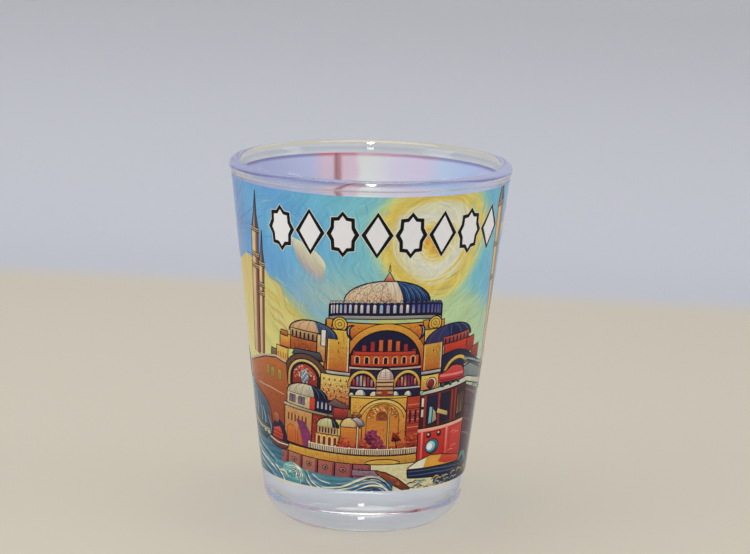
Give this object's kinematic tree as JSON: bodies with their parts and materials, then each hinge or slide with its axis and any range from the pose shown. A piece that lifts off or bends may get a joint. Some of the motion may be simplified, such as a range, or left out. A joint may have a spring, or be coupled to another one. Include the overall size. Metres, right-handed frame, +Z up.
{
  "type": "shot glass",
  "caption": "Small tapered clear glass tumbler with a thick foot, a rounded lip and a glossy printed picture band round its wall.",
  "frame": {"origin": "centre of the bottom of the bounding box, which is the middle of the foot on the table", "axes": "+Z up along the axis of the glass, -Y towards the front of the printed band, +X to its right"},
  "size_m": [0.048, 0.048, 0.0615],
  "materials": {
    "clear_glass": "polished, clear",
    "white_ink": "thin translucent white",
    "picture_ink": "gloss, many colours",
    "black_ink": "gloss",
    "ornament_ink": "gloss"
  },
  "bodies": {
    "root": {"glass_body": "clear_glass", "white_undercoat": "white_ink", "print_wrap": "picture_ink", "ornament_outline": "black_ink", "ornament_fill": "ornament_ink"}
  },
  "joints": []
}
